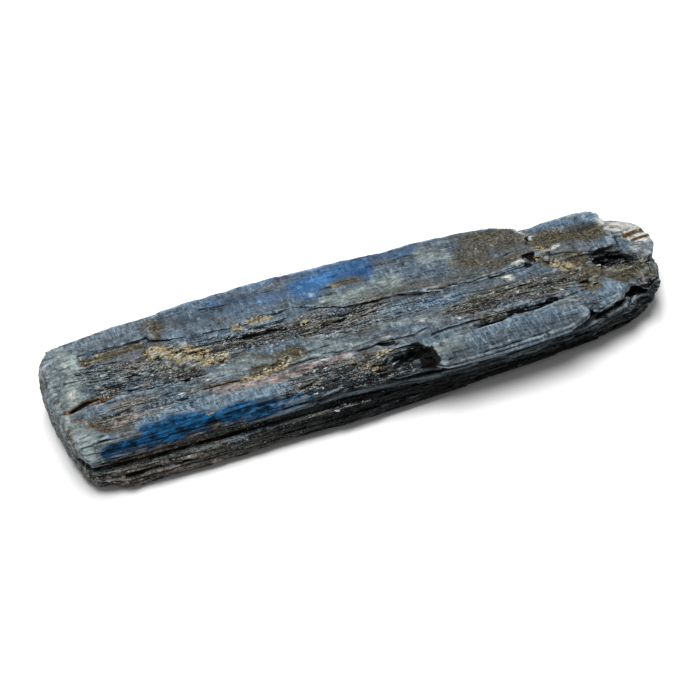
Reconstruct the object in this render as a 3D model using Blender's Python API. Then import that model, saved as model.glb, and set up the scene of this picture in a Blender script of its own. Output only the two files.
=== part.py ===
"""A kyanite blade cluster: many flat crystals grown side by side into one long, layered stick.

Metres, +Z up. X runs along the blades, Y across them, and the stick lies on its foot at Z = 0, with the
origin under the middle of its box. Everything that grew together is one solid.
"""

import math
import random

import bmesh
import bpy
from mathutils import Euler, Vector

# Driving dimensions
LENGTH = 0.0994
WIDTH = 0.0270
HEIGHT = 0.0093

# Shapes below are in millimetres, drawn for a stick 99.4 long, 27.0 wide and 9.3 high
MM_X = LENGTH / 99.4
MM_Y = WIDTH / 27.0
MM_Z = HEIGHT / 9.3

EDGE_WEAR = 0.15  # chamfer round each blade's rims, mm
STEP_RUN = 4.6  # usual length of a straight run between two cleavage steps in an edge, mm
STEP_DEPTH = 0.17  # how far a run may lie off the drawn edge, mm
STEP_JOG = 0.35  # length of the jog that joins two runs, mm

# Each blade: outline (x, y), bottom, top, then its dip (turn about X) and plunge (turn about Y) in degrees.
# The lower layers come first.
LAYERS = {
    "foot": (
        [
            (-47.0, -8.9), (-47.9, -3.6), (-48.4, 1.0), (-48.6, 6.2), (-46.6, 10.3), (-36.0, 11.4),
            (-19.0, 12.2), (1.0, 12.3), (19.0, 11.5), (33.0, 10.2), (42.0, 7.8), (45.6, 3.0), (46.8, -2.2),
            (44.0, -6.2), (41.0, -7.6), (34.0, -8.9), (25.4, -9.7), (12.8, -10.7), (1.0, -11.6), (-7.4, -12.0),
            (-14.8, -11.6), (-24.0, -12.3), (-34.6, -12.2), (-39.6, -12.7), (-42.2, -12.4), (-44.0, -11.1),
            (-45.8, -10.7),
        ],
        0.0, 1.62, 0.0, 0.0,
    ),
    "low_layer": (
        [
            (-47.1, -9.9), (-47.9, -6.9), (-48.5, -2.0), (-49.0, 3.6), (-48.9, 7.4), (-47.2, 11.0),
            (-33.0, 12.4), (-12.0, 12.9), (8.0, 12.5), (26.0, 11.9), (39.0, 9.3), (45.8, 5.4), (47.8, 0.8),
            (47.6, -4.2), (44.6, -7.2), (40.4, -8.7), (33.4, -10.1), (20.0, -11.1), (6.0, -12.1), (-6.0, -12.8),
            (-16.0, -12.5), (-28.0, -13.1), (-37.0, -12.9), (-41.4, -13.2), (-43.6, -12.1), (-46.0, -11.6),
        ],
        1.22, 2.94, 0.2, 0.0,
    ),
    "brown_ledge": (
        [
            (-48.6, -4.0), (-49.0, 3.0), (-46.2, 7.5), (-20.0, 7.0), (0.0, 2.0), (8.0, -7.4), (2.0, -11.8),
            (-8.0, -12.6), (-19.0, -12.3), (-30.0, -12.9), (-38.0, -12.6), (-44.0, -12.5), (-46.8, -11.6),
            (-47.9, -8.8),
        ],
        2.50, 4.28, -0.6, 0.1,
    ),
    "long_core": (
        [
            (-48.6, -5.6), (-49.4, 1.0), (-49.4, 6.6), (-48.0, 9.8), (-41.0, 11.6), (-22.0, 12.0), (-2.0, 12.3),
            (18.0, 11.8), (31.0, 10.6), (41.0, 8.8), (46.4, 5.2), (47.7, 0.0), (45.9, -4.4), (39.6, -7.7),
            (27.6, -10.7), (14.6, -11.9), (3.2, -12.0), (-9.0, -11.4), (-26.0, -11.2), (-39.0, -11.1),
            (-46.4, -10.9),
        ],
        2.70, 8.12, 0.0, 0.0,
    ),
    "mid_back_layer": (
        [
            (-45.0, 4.0), (-44.2, 11.9), (-30.0, 12.8), (-10.0, 12.7), (6.0, 13.2), (22.0, 12.5), (30.0, 11.5),
            (30.4, 4.0), (0.0, 2.0),
        ],
        3.40, 5.30, 0.4, 0.0,
    ),
    "right_low_plate": (
        [
            (7.0, -4.0), (6.2, -12.1), (16.0, -11.8), (27.0, -11.1), (35.0, -10.2), (41.4, -9.1), (45.8, -7.2),
            (48.0, -4.9), (49.5, -1.4), (49.4, 2.6), (46.0, 5.8), (28.0, 5.0),
        ],
        3.36, 4.86, 0.0, -0.2,
    ),
    "right_mid_plate": (
        [
            (4.0, -2.0), (3.4, -12.7), (13.0, -12.9), (24.0, -12.4), (33.4, -11.3), (40.0, -9.7), (44.6, -8.0),
            (47.2, -5.3), (48.6, -2.2), (46.6, 2.0), (26.0, 3.0),
        ],
        5.24, 6.52, 0.0, 0.2,
    ),
    "shoulder": (
        [
            (-48.2, -8.9), (-49.0, -4.6), (-49.7, 2.2), (-49.5, 6.2), (-48.9, 8.4), (-48.0, 10.0),
            (-46.4, 11.3), (-39.0, 12.0), (-31.4, 12.5), (-14.0, 12.7), (5.0, 12.5), (20.0, 12.1), (31.0, 10.7),
            (40.6, 9.1), (44.6, 5.4), (45.2, 0.0), (41.8, -4.6), (36.0, -7.4), (29.0, -11.4), (17.0, -12.7),
            (8.4, -12.6), (5.4, -9.6), (-4.0, -10.2), (-14.0, -11.9), (-26.0, -11.7), (-38.0, -12.2),
            (-46.6, -11.9),
        ],
        6.28, 8.24, 0.0, 0.0,
    ),
}

TOP_BLADES = {
    "left_back_ledge": (
        [
            (-48.7, 5.2), (-48.2, 8.5), (-46.8, 10.2), (-45.2, 10.9), (-42.9, 11.4), (-39.2, 11.9), (-36.4, 12.3),
            (-29.6, 12.3), (-29.4, 8.0), (-39.4, 7.5), (-42.8, 7.9),
        ],
        7.60, 8.72, -1.2, 0.0,
    ),
    "left_end_slab": (
        [
            (-47.4, -10.0), (-48.4, -5.2), (-49.0, 3.0), (-48.4, 7.8), (-43.6, 8.8), (-42.8, 4.2), (-44.0, -1.4),
            (-46.2, -2.2), (-46.8, -3.2), (-43.0, -4.6), (-40.6, -8.6), (-42.4, -10.6),
        ],
        7.50, 8.80, 0.4, -1.0,
    ),
    "left_rough_top": (
        [
            (-43.6, -1.2), (-43.4, 6.4), (-38.0, 7.2), (-31.6, 6.8), (-22.0, 3.6), (-14.0, -0.8), (-26.0, -2.6),
            (-38.4, -1.2),
        ],
        7.40, 8.43, 0.8, 0.0,
    ),
    "blue_front_blade": (
        [
            (-46.4, -3.4), (-38.8, -1.9), (-27.0, -3.6), (-16.8, -4.4), (-9.6, -4.0), (-7.6, -6.6), (-9.8, -8.8),
            (-14.8, -10.4), (-17.4, -12.5), (-24.0, -12.0), (-33.6, -12.2), (-41.4, -12.3), (-44.6, -10.8),
        ],
        6.42, 8.92, 0.0, 0.3,
    ),
    "back_band": (
        [
            (-32.0, 6.9), (-32.2, 9.0), (-31.3, 11.2), (-29.4, 12.3), (-25.4, 12.8), (-19.6, 13.0), (-13.6, 13.3),
            (-5.8, 13.4), (2.2, 13.3), (8.0, 12.9), (12.2, 13.2), (16.4, 13.0), (22.4, 12.7), (26.2, 12.2),
            (29.7, 10.6), (29.9, 5.4), (27.9, 2.4), (19.6, 1.6), (13.0, 1.8), (7.0, 3.3), (-2.0, 3.7),
            (-8.6, 5.8), (-14.6, 6.0), (-18.4, 5.0), (-27.8, 5.7),
        ],
        7.20, 9.14, -0.5, 0.0,
    ),
    "middle_plate": (
        [
            (-27.4, -1.8), (-22.0, -0.3), (-15.0, -0.4), (-8.0, -0.2), (-1.0, 0.6), (6.4, 1.8), (12.4, 1.4),
            (14.0, -3.0), (6.0, -5.4), (-2.0, -5.2), (-9.6, -4.3), (-17.4, -3.8), (-26.6, -3.4),
        ],
        7.50, 8.64, -0.7, 0.0,
    ),
    "brown_plates": (
        [
            (9.6, -4.4), (13.2, 1.7), (22.6, 1.4), (33.0, 1.2), (39.0, 0.6), (40.2, -2.0), (37.2, -4.7),
            (33.4, -5.6), (29.6, -6.1), (23.8, -5.9), (16.4, -5.8), (8.0, -6.4),
        ],
        7.35, 8.75, 0.5, 0.2,
    ),
    "pale_front_blade": (
        [
            (7.2, -8.4), (6.4, -10.6), (6.7, -12.7), (8.0, -13.5), (12.0, -13.6), (17.4, -13.4), (24.0, -13.2),
            (29.0, -12.7), (31.6, -11.8), (33.0, -10.5), (33.2, -8.8), (31.4, -6.8), (28.6, -6.5), (23.8, -6.8),
            (19.2, -7.5), (14.8, -7.7),
        ],
        7.78, 9.06, 0.6, 0.0,
    ),
    "rear_right_blade": (
        [
            (30.5, 9.7), (33.4, 10.3), (36.0, 10.5), (40.2, 10.6), (42.4, 10.2), (43.3, 9.2), (43.6, 6.4),
            (43.5, 4.0), (43.2, 1.4), (39.6, 1.2), (32.4, 0.9), (29.7, 2.6), (30.0, 6.0),
        ],
        6.80, 9.26, -0.3, -0.2,
    ),
    "white_end_crystal": (
        [
            (38.0, 7.0), (42.4, 8.8), (45.5, 8.0), (47.4, 7.0), (48.8, 5.6), (49.7, 3.1), (49.5, 0.9),
            (48.4, -1.0), (46.6, -1.9), (42.6, -1.6), (38.0, 0.4),
        ],
        4.30, 8.05, 0.8, 0.5,
    ),
    "gray_tip": (
        [
            (37.6, -1.0), (40.4, 0.2), (44.0, -1.2), (46.9, -3.0), (46.8, -6.0), (44.5, -7.6), (41.6, -7.5),
            (38.2, -5.6),
        ],
        5.00, 7.62, 0.8, 1.5,
    ),
    "pale_corner_block": (
        [
            (33.0, -6.6), (36.0, -5.6), (38.2, -4.6), (39.6, -4.7), (40.5, -6.2), (40.2, -7.9), (39.0, -8.8),
            (36.8, -9.5), (34.2, -10.2),
        ],
        6.10, 8.47, -0.9, 0.8,
    ),
    "gold_lump": (
        [
            (-32.8, 5.9), (-29.6, 5.6), (-26.6, 3.4), (-23.0, 1.6), (-22.6, 0.0), (-25.6, -1.4), (-28.4, -1.9),
            (-31.4, -0.8), (-33.2, 1.4),
        ],
        7.60, 8.93, 1.6, 0.4,
    ),
}

# Thin laths that ride on the bigger blades in bundles: first and last x, first and last y, the height of the
# surface they stand on, how far they may stand out of it, and how many
LATH_BUNDLES = {
    "trough": (-26.0, 12.0, 0.4, 4.4, 8.30, 0.42, 13),
    "left_rough": (-42.6, -31.0, -0.6, 5.6, 8.43, 0.28, 7),
    "left_front_top": (-44.0, -10.0, -8.2, -4.4, 8.92, 0.16, 6),
    "broken_middle": (-12.0, 8.0, -11.2, -6.4, 8.12, 0.40, 7),
    "middle": (-8.0, 12.0, -4.6, 0.2, 8.64, 0.20, 5),
    "brown": (13.0, 38.0, -5.0, 0.8, 8.75, 0.20, 8),
    "band": (-28.0, 28.0, 7.0, 12.0, 9.10, 0.13, 6),
    "rear_right": (31.0, 42.0, 2.2, 9.6, 9.22, 0.10, 3),
}
LATH_LENGTH = (6.0, 15.0)
LATH_WIDTH = (0.45, 1.05)
LATH_DEPTH = 1.0  # height of a lath, most of it sunk in the blade below, mm
LATH_TURN = 2.5  # heading, degrees either way

# Long hollows between blades: middle (x, y, z), half length, half width, half depth, heading in degrees
CREVICES = {
    "rust_groove": (-43.0, -2.2, 8.86, 4.6, 0.50, 0.55, 5.0),
    "dark_pits_left": (-38.6, 0.7, 8.50, 3.2, 0.55, 0.60, 6.0),
    "lump_foot": (-27.6, -2.3, 8.62, 3.6, 0.35, 0.60, 2.0),
    "trough_black": (-16.4, 2.8, 8.52, 5.2, 0.50, 0.95, 0.0),
    "trough_low": (-20.6, -0.1, 8.50, 5.4, 0.40, 0.70, 8.0),
    "trough_mid": (-5.0, 1.2, 8.55, 6.4, 0.42, 0.65, 5.0),
    "trough_high": (-1.6, 3.1, 8.70, 7.4, 0.40, 0.60, -4.0),
    "gold_streak": (-16.6, -4.3, 8.84, 6.4, 0.42, 0.42, 2.0),
    "mid_crevice": (-0.6, -5.9, 8.62, 4.4, 0.60, 0.90, 1.0),
    "pale_blade_crevice": (22.8, -6.9, 8.98, 7.2, 0.50, 0.95, 5.0),
    "plate_seam": (20.0, -1.9, 8.80, 8.4, 0.30, 0.42, 4.0),
    "under_groove_left": (-24.0, 4.6, 0.0, 11.0, 0.55, 0.60, 2.0),
    "under_groove_front": (-9.0, -5.4, 0.0, 13.0, 0.70, 0.50, -3.0),
    "under_groove_back": (14.0, 7.2, 0.0, 12.0, 0.60, 0.70, -2.0),
    "under_groove_right": (25.0, -4.2, 0.0, 9.0, 0.50, 0.45, 3.0),
}

PITS = {
    "black_hole": (3.0, -8.6, 8.10, 4.0, 1.55, 2.30, 4.0),
    "gold_pit": (0.2, -9.9, 8.40, 3.6, 1.80, 1.50, 12.0),
    "broken_edge": (-6.0, -11.8, 8.60, 6.4, 1.70, 1.80, 3.0),
    "corner_pit": (41.0, -0.7, 8.40, 3.0, 1.30, 1.90, -12.0),
    "corner_notch": (34.6, -5.2, 8.70, 1.7, 1.40, 0.90, 60.0),
    "crack_hole_back": (28.8, 4.0, 9.05, 1.1, 0.55, 1.10, -10.0),
    "crack_hole_front": (27.9, 2.2, 8.95, 0.9, 0.50, 1.00, 20.0),
}

# Undercuts that part the layers along the sides: middle (x, y, z), half length, half width, half height, heading
SIDE_GAPS = {
    "under_blue_blade": (-25.0, -12.4, 5.55, 22.0, 1.10, 0.95, 1.0),
    "left_low_gap": (-31.0, -13.0, 2.30, 13.0, 0.85, 0.34, 0.0),
    "right_upper_gap": (22.0, -12.5, 7.10, 17.0, 1.20, 0.36, 6.0),
    "right_lower_gap": (26.0, -11.6, 5.05, 20.0, 1.30, 0.34, 8.0),
    "right_foot_gap": (28.0, -10.3, 3.12, 18.0, 1.20, 0.38, 9.0),
    "tip_gap": (45.8, -6.4, 5.10, 5.2, 1.50, 0.38, 48.0),
    "back_upper_gap": (-4.0, 13.2, 6.90, 26.0, 1.30, 0.36, 0.0),
    "back_lower_gap": (6.0, 13.0, 3.12, 24.0, 1.10, 0.36, -1.0),
    "left_end_gap": (-49.5, 1.0, 5.60, 7.0, 0.60, 0.32, 91.0),
}

# Flat faces cut across an edge: a point on the face, half length, then turns about X and Z in degrees
FACETS = {
    "blue_bevel": (-30.0, -10.8, 7.75, 17.6, 47.0, 0.0),
    "blue_bevel_turn": (-12.6, -11.9, 7.20, 6.0, 40.0, 3.0),
    "left_end_bevel": (-49.1, 0.0, 7.85, 12.0, 52.0, -88.0),
    "left_front_corner": (-47.2, -11.0, 4.60, 12.0, 90.0, -42.0),
    "left_back_corner": (-47.6, 10.4, 6.00, 12.0, 90.0, -140.0),
    "back_heel": (-4.0, 12.0, 0.70, 44.0, 128.0, 180.0),
    "pale_corner_bevel": (40.3, -7.0, 8.10, 1.9, 50.0, 52.0),
}

FACET_REACH = 6.0  # how far a facet cutter stands out of the stone, mm
CUTTER_ROUNDS = 2  # subdivisions of the hollow cutters


def metres(x, y, z):
    return Vector((x * MM_X, y * MM_Y, z * MM_Z))


def clear_scene():
    for obj in list(bpy.data.objects):
        bpy.data.objects.remove(obj, do_unlink=True)


def new_collection(name):
    collection = bpy.data.collections.new(name)
    bpy.context.scene.collection.children.link(collection)
    return collection


def put_in(collection, obj):
    for holder in list(obj.users_collection):
        holder.objects.unlink(obj)
    collection.objects.link(obj)


def as_cutter(obj):
    obj.hide_render = True
    obj.display_type = "WIRE"


def stepped(outline, seed):
    """The outline with cleavage steps: straight runs a little in or out of each side, joined by short jogs."""
    rng = random.Random(seed)
    points = []
    for start, end in zip(outline, outline[1:] + outline[:1]):
        start = Vector(start)
        side = Vector(end) - start
        along = side.normalized()
        across = Vector((-along.y, along.x))
        points.append(start)
        runs = round(side.length / STEP_RUN)
        offset = 0.0
        for step in range(1, runs):
            middle = side.length * (step + rng.uniform(-0.3, 0.3)) / runs
            points.append(start + along * (middle - STEP_JOG / 2) + across * offset)
            offset = rng.uniform(-STEP_DEPTH, STEP_DEPTH)
            points.append(start + along * (middle + STEP_JOG / 2) + across * offset)
    return points


def blade(name, points, low, top, dip, plunge, heading, wear, collection):
    """A flat crystal: its outline as a filled 2D curve, as thick as the blade, with worn rims."""
    middle = sum(points, Vector((0.0, 0.0))) / len(points)
    curve = bpy.data.curves.new(name + "_outline", "CURVE")
    curve.dimensions = "2D"
    curve.fill_mode = "BOTH"
    curve.extrude = (top - low) * MM_Z / 2 - wear * MM_Z
    curve.bevel_depth = wear * MM_Z
    curve.bevel_resolution = 0
    curve.offset = -wear * MM_Z
    spline = curve.splines.new("POLY")
    spline.points.add(len(points) - 1)
    for knot, point in zip(spline.points, points):
        knot.co = ((point.x - middle.x) * MM_X, (point.y - middle.y) * MM_Y, 0.0, 1.0)
    spline.use_cyclic_u = True

    shape = bpy.data.objects.new(name + "_shape", curve)
    shape.location = metres(middle.x, middle.y, (low + top) / 2)
    shape.rotation_euler = Euler((math.radians(dip), math.radians(plunge), math.radians(heading)))
    collection.objects.link(shape)
    bpy.context.view_layer.update()
    graph = bpy.context.evaluated_depsgraph_get()
    mesh = bpy.data.meshes.new_from_object(shape.evaluated_get(graph))
    weld(mesh)

    obj = bpy.data.objects.new(name, mesh)
    collection.objects.link(obj)
    obj.matrix_world = shape.matrix_world
    bpy.data.objects.remove(shape)
    as_cutter(obj)
    return obj


def weld(mesh):
    work = bmesh.new()
    work.from_mesh(mesh)
    bmesh.ops.remove_doubles(work, verts=work.verts, dist=1e-6)
    bmesh.ops.recalc_face_normals(work, faces=work.faces)
    work.to_mesh(mesh)
    work.free()


def lath_outline(x, y, length, width, rng):
    """A slender outline with one long slanted tip and one short one."""
    half = length / 2
    slant = rng.uniform(1.5, 4.0)
    corners = [(-half, -width / 2), (half - slant, -width / 2), (half, 0.0), (half - 0.8, width / 2)]
    corners += [(-half + slant, width / 2), (-half + 0.4, 0.1)]
    if rng.random() < 0.5:
        corners = [(-cx, -cy) for cx, cy in corners]
    return [Vector((x + cx, y + cy)) for cx, cy in corners]


def lath_bundle(name, first_x, last_x, first_y, last_y, surface, proud, count, collection):
    rng = random.Random(name)
    for index in range(count):
        length = rng.uniform(*LATH_LENGTH)
        length = min(length, last_x - first_x)
        width = rng.uniform(*LATH_WIDTH)
        x = rng.uniform(first_x + length / 2, last_x - length / 2)
        y = first_y + (last_y - first_y) * (index + rng.uniform(0.2, 0.8)) / count
        top = surface + proud * rng.uniform(0.35, 1.0)
        outline = lath_outline(x, y, length, width, rng)
        tilt = rng.uniform(-4.0, 4.0)
        turn = rng.uniform(-LATH_TURN, LATH_TURN)
        blade(f"{name}_lath_{index}", outline, top - LATH_DEPTH, top, tilt, 0.0, turn, 0.0, collection)


def hollow(name, x, y, z, half_length, half_width, half_depth, heading, collection):
    """A long low-sided lens that is cut away where two blades part."""
    bpy.ops.mesh.primitive_ico_sphere_add(subdivisions=CUTTER_ROUNDS, radius=1.0, location=metres(x, y, z))
    obj = bpy.context.object
    obj.name = name
    obj.scale = (half_length * MM_X, half_width * MM_Y, half_depth * MM_Z)
    obj.rotation_euler = Euler((0.0, 0.0, math.radians(heading)))
    put_in(collection, obj)
    as_cutter(obj)
    return obj


def facet(name, x, y, z, half_length, turn_x, turn_z, collection):
    """A box whose underside is the facet: what it covers is cut away."""
    turn = Euler((math.radians(turn_x), 0.0, math.radians(turn_z)))
    outward = turn.to_matrix() @ Vector((0.0, 0.0, 1.0))
    place = metres(x, y, z) + outward * FACET_REACH * MM_Z / 2
    bpy.ops.mesh.primitive_cube_add(size=1.0, location=place, rotation=turn)
    obj = bpy.context.object
    obj.name = name
    obj.scale = (2 * half_length * MM_X, 2 * FACET_REACH * MM_Y, FACET_REACH * MM_Z)
    put_in(collection, obj)
    as_cutter(obj)
    return obj


def boolean(target, name, operation, collection):
    modifier = target.modifiers.new(name, "BOOLEAN")
    modifier.operation = operation
    modifier.operand_type = "COLLECTION"
    modifier.collection = collection
    modifier.solver = "EXACT"
    return modifier


def kyanite_material():
    material = bpy.data.materials.new("kyanite")
    material.use_nodes = True
    shader = material.node_tree.nodes["Principled BSDF"]
    shader.inputs["Base Color"].default_value = (0.11, 0.16, 0.23, 1.0)
    shader.inputs["Roughness"].default_value = 0.42
    shader.inputs["Metallic"].default_value = 0.0
    return material


def build():
    clear_scene()
    stone = new_collection("kyanite_blade_cluster")
    grown_on = new_collection("blades_grown_on")
    cut_away = new_collection("hollows_and_facets")

    for name, (outline, low, top, dip, plunge) in {**LAYERS, **TOP_BLADES}.items():
        home = stone if name == "long_core" else grown_on
        blade(name, stepped(outline, name), low, top, dip, plunge, 0.0, EDGE_WEAR, home)
    for name, values in LATH_BUNDLES.items():
        lath_bundle(name, *values, grown_on)
    for name, values in {**CREVICES, **PITS, **SIDE_GAPS}.items():
        hollow(name, *values, cut_away)
    for name, values in FACETS.items():
        facet(name, *values, cut_away)

    cluster = stone.objects["long_core"]
    cluster.name = "kyanite_blade_cluster"
    cluster.hide_render = False
    cluster.display_type = "TEXTURED"
    boolean(cluster, "grow_together", "UNION", grown_on)
    boolean(cluster, "part_and_break", "DIFFERENCE", cut_away)
    cluster.data.materials.append(kyanite_material())


build()
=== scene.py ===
import math

import bmesh
import bpy
import numpy as np
from mathutils import Matrix, Vector, noise
from mathutils.bvhtree import BVHTree


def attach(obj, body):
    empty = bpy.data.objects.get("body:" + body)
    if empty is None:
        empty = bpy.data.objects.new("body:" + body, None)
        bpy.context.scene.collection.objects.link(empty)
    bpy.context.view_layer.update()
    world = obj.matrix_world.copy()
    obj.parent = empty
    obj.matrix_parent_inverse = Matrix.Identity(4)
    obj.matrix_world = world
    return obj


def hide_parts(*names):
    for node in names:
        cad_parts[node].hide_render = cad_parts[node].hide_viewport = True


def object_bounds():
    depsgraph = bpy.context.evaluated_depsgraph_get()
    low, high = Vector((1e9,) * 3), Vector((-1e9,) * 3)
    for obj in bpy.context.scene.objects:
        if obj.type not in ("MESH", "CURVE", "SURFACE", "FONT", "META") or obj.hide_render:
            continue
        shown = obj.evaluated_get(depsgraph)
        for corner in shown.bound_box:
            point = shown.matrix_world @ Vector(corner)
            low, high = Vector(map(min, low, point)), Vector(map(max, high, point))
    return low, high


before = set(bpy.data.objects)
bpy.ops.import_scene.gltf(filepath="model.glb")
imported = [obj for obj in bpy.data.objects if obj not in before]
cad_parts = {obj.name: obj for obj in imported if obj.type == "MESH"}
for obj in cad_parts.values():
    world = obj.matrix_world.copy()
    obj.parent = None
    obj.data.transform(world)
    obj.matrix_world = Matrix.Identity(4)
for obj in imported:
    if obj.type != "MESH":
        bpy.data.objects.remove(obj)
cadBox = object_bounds()
mm = 0.001
nodeName = "kyanite_blade_cluster"
print("frame loaded")


def addObject(name, data):
    thing = bpy.data.objects.new(name, data)
    bpy.context.scene.collection.objects.link(thing)
    return thing


# camera

cameraSetup = {
    "lens": 100.0,  # mm on a 36 mm sensor
    "azimuth": -20.5,  # degrees, 0 looks along +Y
    "elevation": 46.0,
    "distance": 0.298,  # m
    "target": (-0.0028, -0.0009, 0.0040),
}


def makeCamera(setup):
    turn, rise = math.radians(setup["azimuth"]), math.radians(setup["elevation"])
    back = Vector((math.sin(turn) * math.cos(rise), -math.cos(turn) * math.cos(rise), math.sin(rise)))
    right = Vector((math.cos(turn), math.sin(turn), 0.0))
    up = back.cross(right)
    data = bpy.data.cameras.new("camera")
    data.lens = setup["lens"]
    data.sensor_width = 36.0
    data.clip_start, data.clip_end = 0.01, 5.0
    camera = addObject("camera", data)
    place = Matrix((right, up, back)).transposed().to_4x4()
    place.translation = Vector(setup["target"]) + back * setup["distance"]
    camera.matrix_world = place
    bpy.context.scene.camera = camera


makeCamera(cameraSetup)
print("camera placed")


# small tools for point arrays in mm

def readVectors(mesh, name):
    flat = np.empty(len(mesh.vertices) * 3)
    mesh.vertices.foreach_get(name, flat)
    return flat.reshape(-1, 3)


def readPoints(mesh):
    return readVectors(mesh, "co") / mm


def readNormals(mesh):
    return readVectors(mesh, "normal")


def writePoints(mesh, points):
    mesh.vertices.foreach_set("co", (points * mm).ravel())
    mesh.update()


def edgeEnds(mesh):
    flat = np.empty(len(mesh.edges) * 2, dtype=np.int64)
    mesh.edges.foreach_get("vertices", flat)
    return flat.reshape(-1, 2)


def neighbourMean(values, ends, count):
    total = np.zeros_like(values)
    degree = np.zeros(count)
    for a, b in ((0, 1), (1, 0)):
        np.add.at(total, ends[:, a], values[ends[:, b]])
        np.add.at(degree, ends[:, a], 1)
    return total / (degree[:, None] if values.ndim > 1 else degree)


def relaxed(points, ends, turns):
    for turn in range(turns):
        points = neighbourMean(points, ends, len(points))
    return points


def filled(heights, ends, turns):  # heights with their hollows raised toward their rims
    for turn in range(turns):
        heights = np.maximum(heights, neighbourMean(heights, ends, len(heights)))
    return heights


def grain(points, sizes, seed):  # smooth noise from -1 to 1, with grains of these sizes in mm
    places = (points / np.array(sizes) + seed * 17.3).tolist()
    return np.array([noise.noise(p) for p in places])


def cells(points, sizes, seed):  # a random height from 0 to 1 for each cell of these sizes
    places = (points / np.array(sizes) + seed * 11.9).tolist()
    return np.array([noise.cell(noise.voronoi(p)[1][0] * 7.31) for p in places])


def smooth(low, high, value):
    part = np.clip((value - low) / (high - low), 0.0, 1.0)
    return part * part * (3.0 - 2.0 * part)


def pathDistance(flat, path):  # distance in mm from points in a plane to a line through path
    path = np.array(path).reshape(-1, 2)
    nearest = np.full(len(flat), 1e9)
    for start, end in zip(path[:-1], path[1:]):
        side = end - start
        part = np.clip((flat - start) @ side / max(side @ side, 1e-9), 0.0, 1.0)
        nearest = np.minimum(nearest, np.linalg.norm(flat - start - part[:, None] * side, axis=1))
    return nearest


def painted(flat, strokes):  # strength of the strongest stroke at each point
    total = np.zeros(len(flat))
    for strength, reach, *path in strokes:
        total = np.maximum(total, strength * smooth(1.9, 0.2, pathDistance(flat, path) / reach))
    return total


# the stone's mesh: the CAD solid remeshed finely, then carved

remeshSetup = {
    "voxel": 0.19,  # mm across the blades
    "squeeze": 0.38,  # the mesh is shortened by this along X while it is remeshed, so cells are long
}


def remeshedStone(source, setup):
    mesh = source.data.copy()
    mesh.name = "kyanite_stone"
    stone = addObject("kyanite_stone", mesh)
    mesh.materials.clear()
    mesh.transform(Matrix.Diagonal((setup["squeeze"], 1.0, 1.0, 1.0)))
    remesh = stone.modifiers.new("remesh", "REMESH")
    remesh.mode = "VOXEL"
    remesh.voxel_size = setup["voxel"] * mm
    graph = bpy.context.evaluated_depsgraph_get()
    fine = bpy.data.meshes.new_from_object(stone.evaluated_get(graph))
    fine.transform(Matrix.Diagonal((1.0 / setup["squeeze"], 1.0, 1.0, 1.0)))
    stone.modifiers.clear()
    stone.data = fine
    fine.name = "kyanite_stone"
    return stone


stone = remeshedStone(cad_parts[nodeName], remeshSetup)
print("stone remeshed:", len(stone.data.polygons), "faces")


# where each finish lies on the top, as strokes seen from above
# each stroke: strength, half width in mm, then x, y of each point of its path in mm

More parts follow.
